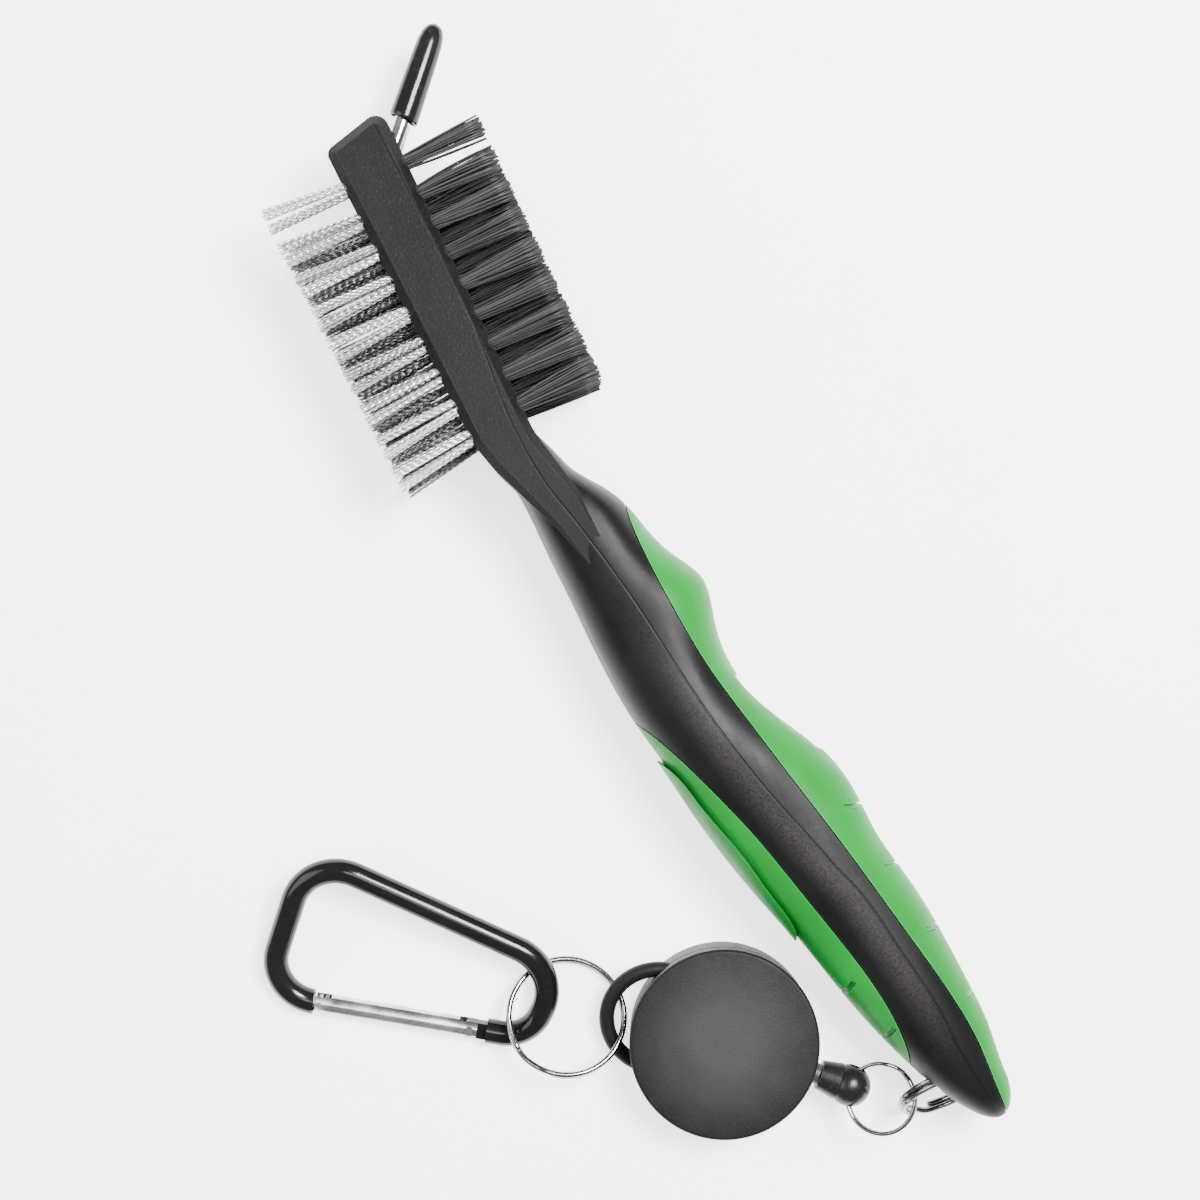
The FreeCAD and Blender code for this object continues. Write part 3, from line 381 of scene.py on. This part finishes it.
PAINTS = {
    "core_plastic": core_plastic(),
    "reel_plastic": reel_plastic(),
    "boot_plastic": moulded(
        "boot_plastic", dark=grey(0.004), light=grey(0.008), worn=grey(0.03),
        grain=0.5, depth=0.012, rough_low=0.22, rough_high=0.34, Specular_IOR_Level=0.25,
    ),
    "nozzle_plastic": moulded(
        "nozzle_plastic", dark=(0.020, 0.020, 0.021), light=(0.035, 0.035, 0.036), worn=grey(0.09),
        grain=0.3, depth=0.02, rough_low=0.35, rough_high=0.5, Specular_IOR_Level=0.25,
    ),
    "spool_plastic": moulded(
        "spool_plastic", dark=(0.62, 0.61, 0.56), light=(0.72, 0.71, 0.67), worn=(0.82, 0.81, 0.78),
        grain=0.4, depth=0.02, rough_low=0.35, rough_high=0.5, Specular_IOR_Level=0.5,
    ),
    "cap_vinyl": moulded(
        "cap_vinyl", dark=grey(0.005), light=grey(0.009), worn=grey(0.02),
        grain=1.5, depth=0.02, rough_low=0.10, rough_high=0.20, Specular_IOR_Level=0.28,
    ),
    "black_aluminium": moulded(
        "black_aluminium", dark=grey(0.003), light=grey(0.006), worn=grey(0.012),
        grain=0.8, depth=0.003, rough_low=0.10, rough_high=0.20, Specular_IOR_Level=0.28,
    ),
    "grip_rubber": grip_rubber(),
    "nylon": strand(
        "nylon", dark=grey(0.0012), light=(0.030, 0.030, 0.031),
        rough_low=0.34, rough_high=0.48, Specular_IOR_Level=0.3,
    ),
    "wire_steel": strand(
        "wire_steel", dark=grey(0.02), light=(1.0, 1.0, 0.99),
        rough_low=0.22, rough_high=0.38, Metallic=1.0,
    ),
    "staple_steel": metal(
        "staple_steel", dark=(0.30, 0.26, 0.18), light=(0.52, 0.47, 0.36),
        rough_low=0.35, rough_high=0.5, scale=(1, 0.1, 1),
    ),
    "pin_steel": metal(
        "pin_steel", dark=grey(0.45), light=grey(0.72),
        rough_low=0.18, rough_high=0.34, scale=(1, 1, 0.1),
    ),
    "spike_steel": metal(
        "spike_steel", dark=(0.30, 0.30, 0.305), light=grey(0.60),
        rough_low=0.08, rough_high=0.18, scale=(1, 0.1, 1),
    ),
    "ring_steel": metal(
        "ring_steel", dark=(0.06, 0.06, 0.062), light=(0.30, 0.30, 0.302),
        rough_low=0.06, rough_high=0.14, scale=(1, 1, 0.2),
    ),
    "spring_steel": metal(
        "spring_steel", dark=(0.10, 0.11, 0.15), light=(0.24, 0.26, 0.33),
        rough_low=0.25, rough_high=0.4, scale=(1, 1, 0.1),
    ),
    "gate_aluminium": metal(
        "gate_aluminium", dark=(0.34, 0.34, 0.345), light=(0.62, 0.62, 0.625),
        rough_low=0.14, rough_high=0.28, scale=(0.15, 1, 1),
    ),
    "cord_nylon": braided_cord(),
}
for part in frame["record"]["subparts"]:
    mesh = nodes[part["node"]].data
    mesh.materials.clear()
    mesh.materials.append(PAINTS[part["material_slot"]])


# ---------------------------------------------------------------- mesh helpers
class Tubes:
    """Round tubes gathered into one mesh."""

    def __init__(self):
        self.points = []
        self.faces = []
        self.tones = []

    def add(self, path, radii, sides, tone=0.5):
        """A tube along the path, one radius for each of its points, with flat ends."""
        start = len(self.points)
        count = len(path)
        heading = (path[1] - path[0]).normalized()
        across = heading.orthogonal().normalized()
        for i, (point, radius) in enumerate(zip(path, radii)):
            ahead = path[min(i + 1, count - 1)]
            behind = path[max(i - 1, 0)]
            heading = (ahead - behind).normalized()
            across = (across - heading * across.dot(heading)).normalized()
            beside = heading.cross(across)
            for k in range(sides):
                angle = 2 * math.pi * k / sides
                outward = across * math.cos(angle) + beside * math.sin(angle)
                self.points.append(point + outward * radius)
                self.tones.append(tone)
        for i in range(count - 1):
            ring = start + i * sides
            onward = ring + sides
            for k in range(sides):
                beyond = (k + 1) % sides
                self.faces.append((ring + k, ring + beyond, onward + beyond, onward + k))
        self.faces.append(tuple(range(start + sides - 1, start - 1, -1)))
        last = start + (count - 1) * sides
        self.faces.append(tuple(range(last, last + sides)))

    def piece(self, name, slot, stands_for, body=None):
        """The tubes as one piece that stands for a CAD node and rides on the body, if it rides on one."""
        obj = new_piece(name, self.points, self.faces, slot)
        tones = obj.data.attributes.new("strand_tone", "FLOAT", "POINT")
        tones.data.foreach_set("value", self.tones)
        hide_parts(stands_for)
        if body:
            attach(obj, body)
        return obj


def new_piece(name, points, faces, slot):
    """A smooth mesh object in the slot's material."""
    mesh = bpy.data.meshes.new(name)
    mesh.from_pydata(points, [], faces)
    mesh.materials.append(PAINTS[slot])
    mesh.shade_smooth()
    mesh.update()
    obj = bpy.data.objects.new(name, mesh)
    bpy.context.scene.collection.objects.link(obj)
    return obj


def eased(value):
    """A smooth step from 0 to 1."""
    t = max(0.0, min(1.0, value))
    return t * t * (3 - 2 * t)


# ---------------------------------------------------------------- tufts
SEED = 11
rng = random.Random(SEED)
# Each side's face, from its neck end to its tip end.
NYLON_FACE = (Vector((-4.6, 136.0, 0)), Vector((1.45, 189.0, 0)))
WIRE_FACE = (Vector((-14.1, 139.0, 0)), Vector((-9.75, 189.0, 0)))
# The row of tufts on each side: where place 0 is along the brush, and the step from place to place.
NYLON_FIRST_Y = 184.3
WIRE_FIRST_Y = 185.6
NYLON_PITCH = 5.46
WIRE_PITCH = 5.64
# The wires at place 0 lean by this many degrees towards the tip, and those at the middle place by none.
WIRE_FAN = 4.0
MIDDLE_PLACE = 4
# Each column: its height above the mid-plane, and its first and last place in the row.
COLUMNS = [(9.2, 0.0, 8.0), (5.2, 1.5, 7.5), (-5.2, 1.0, 8.0), (-9.2, 0.5, 7.5)]
OUTER_HEIGHT = 7.0
# How far the tufts stand out of the face, and how far their strands go into it.
TUFT_LENGTH = 14.0
TUFT_SEAT = 1.5
# How light the strands are: the inner columns and the sides of each bundle are darkened with painted shade.
OUTER_TONE = 1.0
SHADED_NYLON_TONE = 0.08
SHADED_WIRE_TONE = 0.16
TONE_LOW = 0.35
TONE_HIGH = 1.25
SIDE_SHADE = 0.7
GOLDEN_ANGLE = 2.39996


def column_places(face, first_y, pitch, outward, column, fan):
    """The root, heading and row direction of each tuft in a column."""
    height, first, last = column
    along = (face[1] - face[0]).normalized()
    start = face[0] + along * ((first_y - face[0].y) / along.y)
    normal = Vector((along.y, -along.x, 0)) * outward
    places = []
    for step in range(round(last - first) + 1):
        place = first + step
        root = start - along * (pitch * place) + UP * (MID + height)
        lean = math.radians(fan * (1 - place / MIDDLE_PLACE))
        places.append((root, normal * math.cos(lean) + along * math.sin(lean), along))
    return places


def spread(index, count):
    """An even scatter of points over a round bundle of radius 1."""
    angle = index * GOLDEN_ANGLE
    reach = math.sqrt((index + 0.5) / count)
    return reach * math.cos(angle), reach * math.sin(angle)


def strand_tone(side, column_tone):
    """A strand's lightness from its place across its bundle, -1 to 1, and its column, with painted shade
    towards the bundle's sides.
    """
    return column_tone * rng.uniform(TONE_LOW, TONE_HIGH) * (1 - SIDE_SHADE * abs(side) ** 4)


FILAMENTS = 34
FILAMENT_RADIUS = 0.20
FILAMENT_SIDES = 6
FILAMENT_TIP = 0.85
# Half the size of a nylon tuft at its root, and at its tips along the row and up.
NYLON_ROOT = 1.28
NYLON_TIP_ROW = 2.22
NYLON_TIP_UP = 1.8
# The most that a tuft is twisted, in radians.
NYLON_TWIST = 0.25
# As shares of the tuft's size: how far filaments stray at their tips, and how far the few astray do.
NYLON_STRAY = 0.07
ASTRAY = 0.3
ASTRAY_CHANCE = 0.05
# Filaments are this much shorter than the tuft, as much again towards its sides, and differ by chance.
NYLON_SHORTER = 0.25
NYLON_DOME = 0.25
NYLON_LENGTHS = (-0.35, 0.2)
# How far filaments bow, and the places along them that show it.
NYLON_BOW = 0.14
BOW_STEPS = (0.0, 0.3, 0.55, 0.8, 1.0)


def nylon_tuft(tubes, root, heading, row, column_tone):
    """A bundle of stiff, nearly straight filaments that opens towards its tips, a few of them astray."""
    twist = rng.uniform(-NYLON_TWIST, NYLON_TWIST)
    radii = [FILAMENT_RADIUS * MM] * len(BOW_STEPS) + [FILAMENT_RADIUS * FILAMENT_TIP * MM]
    for i in range(FILAMENTS):
        a, b = spread(i, FILAMENTS)
        a_tip = a * math.cos(twist) - b * math.sin(twist) + rng.gauss(0, NYLON_STRAY)
        b_tip = a * math.sin(twist) + b * math.cos(twist) + rng.gauss(0, NYLON_STRAY)
        if rng.random() < ASTRAY_CHANCE:
            a_tip += rng.choice((-ASTRAY, ASTRAY))
        base = root + row * (a * NYLON_ROOT) + UP * (b * NYLON_ROOT)
        length = TUFT_LENGTH - NYLON_SHORTER + rng.uniform(*NYLON_LENGTHS) - NYLON_DOME * a * a
        tip = root + heading * length + row * (a_tip * NYLON_TIP_ROW) + UP * (b_tip * NYLON_TIP_UP)
        bow = row * rng.gauss(0, NYLON_BOW) + UP * rng.gauss(0, NYLON_BOW)
        path = [base - heading * TUFT_SEAT]
        for step in BOW_STEPS:
            path.append(base.lerp(tip, step) + bow * (4 * step * (1 - step)))
        tubes.add([at(p) for p in path], radii, FILAMENT_SIDES, strand_tone(a, column_tone))


WIRES_PER_LEG = 15
WIRE_RADIUS = 0.13
WIRE_SIDES = 5
# Along the row, each leg's middle at its root and at its tip.
LEG_ROOT = 0.78
LEG_TIP = 1.25
# Half the size of a leg's bundle along the row and up, at its root and at its tip.
LEG_BUNDLE_ROOT_ROW = 0.62
LEG_BUNDLE_ROOT_UP = 1.3
LEG_BUNDLE_TIP_ROW = 0.95
LEG_BUNDLE_TIP_UP = 1.6
# How far a wire strays at its tip, as a share of the bundle's size.
WIRE_STRAY_ROW = 0.16
WIRE_STRAY_UP = 0.14
# Wires are this much shorter than the tuft, and differ by chance.
WIRE_SHORTER = 0.1
WIRE_LENGTHS = (-0.5, 0.15)
CRIMP_LENGTH = 1.25
CRIMP_HEIGHT = 0.07
CRIMP_STEPS = 5


def wire_tuft(tubes, root, heading, row, column_tone):
    """Crimped wires folded at the root into two legs side by side, which open towards their tips."""
    for side in (-1, 1):
        for i in range(WIRES_PER_LEG):
            a, b = spread(i, WIRES_PER_LEG)
            base = root + row * (side * LEG_ROOT + a * LEG_BUNDLE_ROOT_ROW) + UP * (b * LEG_BUNDLE_ROOT_UP)
            length = TUFT_LENGTH - WIRE_SHORTER + rng.uniform(*WIRE_LENGTHS)
            tip_row = side * LEG_TIP + (a + rng.gauss(0, WIRE_STRAY_ROW)) * LEG_BUNDLE_TIP_ROW
            tip_up = (b + rng.gauss(0, WIRE_STRAY_UP)) * LEG_BUNDLE_TIP_UP
            tip = root + heading * length + row * tip_row + UP * tip_up
            phase = rng.uniform(0, 2 * math.pi)
            plane = rng.uniform(0, math.pi)
            sway = row * math.cos(plane) + UP * math.sin(plane)
            steps = int((length + TUFT_SEAT) / CRIMP_LENGTH * CRIMP_STEPS)
            path = []
            for k in range(steps + 1):
                reach = -TUFT_SEAT + (length + TUFT_SEAT) * k / steps
                wave = CRIMP_HEIGHT * math.sin(phase + 2 * math.pi * reach / CRIMP_LENGTH)
                line = base.lerp(tip, max(0.0, reach / length)) + heading * min(0.0, reach)
                path.append(at(line + sway * wave))
            tubes.add(path, [WIRE_RADIUS * MM] * len(path), WIRE_SIDES, strand_tone(a, column_tone))


# The inner columns' darker tone is painted shade.
for number, column in enumerate(COLUMNS, start=1):
    outer = abs(column[0]) > OUTER_HEIGHT
    filaments = Tubes()
    for place in column_places(NYLON_FACE, NYLON_FIRST_Y, NYLON_PITCH, 1, column, 0):
        nylon_tuft(filaments, *place, OUTER_TONE if outer else SHADED_NYLON_TONE)
    filaments.piece(f"nylon_filaments_{number}", "nylon", f"nylon_tufts_{number}", "brush")
    wires = Tubes()
    for place in column_places(WIRE_FACE, WIRE_FIRST_Y, WIRE_PITCH, -1, column, WIRE_FAN):
        wire_tuft(wires, *place, OUTER_TONE if outer else SHADED_WIRE_TONE)
    wires.piece(f"crimped_wires_{number}", "wire_steel", f"wire_tufts_{number}", "brush")

# ---------------------------------------------------------------- split rings
# A ring's wire: its steps in one turn, its sides, and the share of its thickness left at its two ends.
RING_STEPS = 96
RING_SIDES = 14
RING_END = 0.72
# In radians: the step from the lower turn to the upper, its slack, and the gap between it and the last end.
CROSSING = 0.55
CROSSING_SLACK = 0.05
END_GAP = 0.12
# The two turns press together: their middles lie this share of the wire's thickness apart.
TURN_CLOSENESS = 0.97


def placement(centre, along, axis):
    """The matrix at a centre whose Z is the axis and whose X is as near to along as that allows."""
    z = axis.normalized()
    x = (along - z * along.dot(z)).normalized()
    turned = Matrix((x, z.cross(x), z)).transposed().to_4x4()
    return Matrix.Translation(at(centre)) @ turned


def split_ring(ring, place, radius, gauge, start_angle):
    """One wire wound twice round. It steps to the upper turn just before it meets its own start.

    The gauge is the wire's radius, and the start angle is where the wire's first end lies.
    """
    total = 4 * math.pi - CROSSING - END_GAP
    crossing_start = 2 * math.pi - CROSSING
    path = []
    radii = []
    for k in range(2 * RING_STEPS + 1):
        turn = total * k / (2 * RING_STEPS)
        level = 2 * eased((turn - crossing_start) / (CROSSING - CROSSING_SLACK)) - 1
        angle = start_angle + turn
        height = level * gauge * TURN_CLOSENESS
        path.append(place @ (Vector((radius * math.cos(angle), radius * math.sin(angle), height)) * MM))
        at_an_end = k in (0, 2 * RING_STEPS)
        radii.append(gauge * MM * (RING_END if at_an_end else 1.0))
    tubes = Tubes()
    tubes.add(path, radii, RING_SIDES)
    tubes.piece(f"{ring}_wire", "ring_steel", ring, ring)


TAIL_RING_CENTRE = (-4.4, 5.9, 7.6)
TAIL_RING_TILT = math.radians(61.3)
TAIL_RING_ALONG = Vector((0.985, -0.172, 0)).normalized()
TAIL_RING_ACROSS = Matrix.Rotation(TAIL_RING_TILT, 3, TAIL_RING_ALONG) @ UP.cross(TAIL_RING_ALONG)
tail_ring_place = placement(TAIL_RING_CENTRE, TAIL_RING_ALONG, TAIL_RING_ALONG.cross(TAIL_RING_ACROSS))
split_ring("tail_ring", tail_ring_place, radius=7.5, gauge=0.50, start_angle=4.3)

# The cord leaves the reel this way, at this level.
EXIT_ANGLE = math.radians(-51.5)
EXIT = Vector((math.cos(EXIT_ANGLE), math.sin(EXIT_ANGLE), 0))
CORD_LEVEL = REEL + UP * 6.9
# The near side of the link ring lies in the boot's eye, and its far side is tilted up.
BOOT_EYE = CORD_LEVEL + EXIT * 22.74
LINK_TILT = math.radians(22.0)
LINK_RADIUS = 5.8
LINK_OUT = EXIT * math.cos(LINK_TILT) + UP * math.sin(LINK_TILT)
link_place = placement(BOOT_EYE + LINK_OUT * LINK_RADIUS, LINK_OUT, LINK_OUT.cross(UP.cross(EXIT)))
split_ring("link_ring", link_place, radius=LINK_RADIUS, gauge=0.36, start_angle=1.9)

KEY_RING_CENTRE = (-52.3, 49.6, 4.63)
KEY_RING_AXIS = Vector((0.272, 0.26, 1))
key_place = placement(KEY_RING_CENTRE, Vector((1, 0, 0)), KEY_RING_AXIS)
split_ring("key_ring", key_place, radius=9.85, gauge=0.5, start_angle=3.9)

# ---------------------------------------------------------------- spike cap
BEARING = math.radians(50.7)
AHEAD = Vector((math.sin(BEARING), math.cos(BEARING), 0))
# Outside of the cap from its mouth to its closed end: distance from the pivot, radius.
CAP_PROFILE = [
    (6.75, 2.20), (6.62, 2.36), (6.75, 2.48), (7.3, 2.50), (10.0, 2.46), (14.0, 2.38), (18.0, 2.28),
    (20.5, 2.16), (21.8, 1.95), (22.8, 1.60), (23.4, 1.10), (23.72, 0.55), (23.8, 0.04),
]
# Inside of the cap, from its closed end back to its mouth.
CAP_BORE = [(22.75, 0.04), (22.5, 1.0), (21.8, 1.6), (8.0, 1.62), (7.0, 1.75), (6.75, 2.0)]
CAP_SIDES = 40
# The mouth's distance from the pivot, how far its slant reaches, and the length that the slant dies away in.
MOUTH = 6.6
MOUTH_SLANT = 0.55
SLANT_LENGTH = 4.0


def lathe(profile, sides):
    """Rings of points about the spike, joined into a closed shell, with the mouth's slant."""
    points = []
    faces = []
    beside = UP.cross(AHEAD)
    for distance, radius in profile:
        share = 1 - eased((distance - MOUTH) / SLANT_LENGTH)
        for k in range(sides):
            angle = 2 * math.pi * k / sides
            along = distance + MOUTH_SLANT * (1 + math.cos(angle)) / 2 * share
            outward = beside * math.cos(angle) + UP * math.sin(angle)
            points.append(at(PIVOT + UP * MID + AHEAD * along + outward * radius))
    for i in range(len(profile)):
        ring = i * sides
        onward = (i + 1) % len(profile) * sides
        for k in range(sides):
            beyond = (k + 1) % sides
            faces.append((ring + k, ring + beyond, onward + beyond, onward + k))
    return points, faces


cap = new_piece("spike_cap_sleeve", *lathe(CAP_PROFILE + CAP_BORE, CAP_SIDES), "cap_vinyl")
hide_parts("spike_cap")
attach(cap, "spike_cap")

# ---------------------------------------------------------------- cord
CORD_RADIUS = 0.45
# The lead, by its distance from the reel's middle.
LEAD_START = 15.0
LEAD_LENGTH = 4.4
LEAD_STEPS = 60
LEAD_SIDES = 12
lead = Tubes()
lead_path = []
for k in range(LEAD_STEPS + 1):
    lead_path.append(at(CORD_LEVEL + EXIT * (LEAD_START + LEAD_LENGTH * k / LEAD_STEPS)))
lead.add(lead_path, [CORD_RADIUS * MM] * len(lead_path), LEAD_SIDES)
lead_piece = lead.piece("cord_lead_braid", "cord_nylon", "cord_lead")
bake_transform(lead_piece)

# The cord on the spool: turns laid side by side, up and down again, layer on layer. It is pressed a
# little thinner than the lead.
LAYERS = 4
LAYER_TURNS = 3
TURN_STEPS = 40
TURN_SIDES = 8
FIRST_LAYER_RADIUS = 8.5
LAYER_STEP = 0.92
FIRST_TURN_LEVEL = 6.42
TURN_PITCH = 0.75
WOUND_RADIUS = CORD_RADIUS * 0.95
turns = Tubes()
turn_path = []
for layer in range(LAYERS):
    reach = FIRST_LAYER_RADIUS + LAYER_STEP * layer
    for k in range(LAYER_TURNS * TURN_STEPS):
        turn = k / TURN_STEPS if layer % 2 == 0 else LAYER_TURNS - k / TURN_STEPS
        level = FIRST_TURN_LEVEL + turn * TURN_PITCH
        angle = 2 * math.pi * k / TURN_STEPS
        spot = REEL + Vector((reach * math.cos(angle), reach * math.sin(angle), level))
        turn_path.append(at(spot))
turns.add(turn_path, [WOUND_RADIUS * MM] * len(turn_path), TURN_SIDES)
turns.piece("cord_turns", "cord_nylon", "cord_wound", "spool")

# ---------------------------------------------------------------- stage, light and camera
# The camera looks straight down on its centre, which is a place as above. Lengths are in metres from here
# on, but for the sensor's millimetres.
CAMERA_CENTRE = Vector((-9.95, 106.96, 0))
CAMERA_HEIGHT = 0.385
CAMERA_ROLL = math.radians(-31.84)
CAMERA_NEAREST = 0.01
SEEN_WIDTH = 0.2071
SENSOR = 36.0
FLOOR_HALF = 12.0
FLOOR_DROP = 0.00005
FLOOR_GLOW = 2.2
SKY_STRENGTH = 0.45


def floor():
    """A wide sheet of glowing white paper, just below the object."""
    paint = Paint(
        "floor_paper", Specular_IOR_Level=0.2, Emission_Color=(1, 1, 1, 1), Emission_Strength=FLOOR_GLOW,
    )
    paint.colour(paint.ramp(paint.noise(40.0, 3.0), (0.3, grey(0.90)), (0.7, grey(0.93))))
    paint.rough(paint.ramp(paint.noise(3.0, 2.0), (0.3, 0.7), (0.7, 0.85)))
    paint.bump((paint.noise(0.8, 2.0), 0.01))
    corners = [(-1, -1), (1, -1), (1, 1), (-1, 1)]
    mesh = bpy.data.meshes.new("floor")
    mesh.from_pydata([(x * FLOOR_HALF, y * FLOOR_HALF, 0) for x, y in corners], [], [(0, 1, 2, 3)])
    mesh.materials.append(paint.material)
    obj = bpy.data.objects.new("floor", mesh)
    bpy.context.scene.collection.objects.link(obj)
    obj.location = (0, 0, -FLOOR_DROP)


def softbox(name, right, up, height, size, power):
    """A square light above the table, placed by the picture's right and up, aimed at the picture's middle."""
    turn = Matrix.Rotation(CAMERA_ROLL, 3, "Z")
    data = bpy.data.lights.new(name, "AREA")
    data.shape = "SQUARE"
    data.size = size
    data.energy = power
    obj = bpy.data.objects.new(name, data)
    bpy.context.scene.collection.objects.link(obj)
    obj.location = at(CAMERA_CENTRE) + turn @ Vector((right, up, height))
    aim = at(CAMERA_CENTRE) - obj.location
    obj.rotation_euler = aim.to_track_quat("-Z", "Y").to_euler()


floor()
softbox("key", right=0.24, up=0.16, height=0.62, size=0.24, power=17.0)
softbox("fill", right=-0.50, up=0.05, height=0.45, size=0.45, power=3.0)
softbox("overhead", right=0.02, up=0.0, height=0.85, size=0.22, power=1.6)

world = bpy.data.worlds.new("studio")
world.use_nodes = True
sky = world.node_tree.nodes["Background"]
sky.inputs["Color"].default_value = (1, 1, 1, 1)
sky.inputs["Strength"].default_value = SKY_STRENGTH
bpy.context.scene.world = world

camera_data = bpy.data.cameras.new("camera")
camera_data.sensor_width = SENSOR
camera_data.lens = SENSOR * CAMERA_HEIGHT / SEEN_WIDTH
camera_data.clip_start = CAMERA_NEAREST
camera = bpy.data.objects.new("camera", camera_data)
bpy.context.scene.collection.objects.link(camera)
camera.location = at(CAMERA_CENTRE) + UP * CAMERA_HEIGHT
camera.rotation_euler = (0, 0, CAMERA_ROLL)
bpy.context.scene.camera = camera
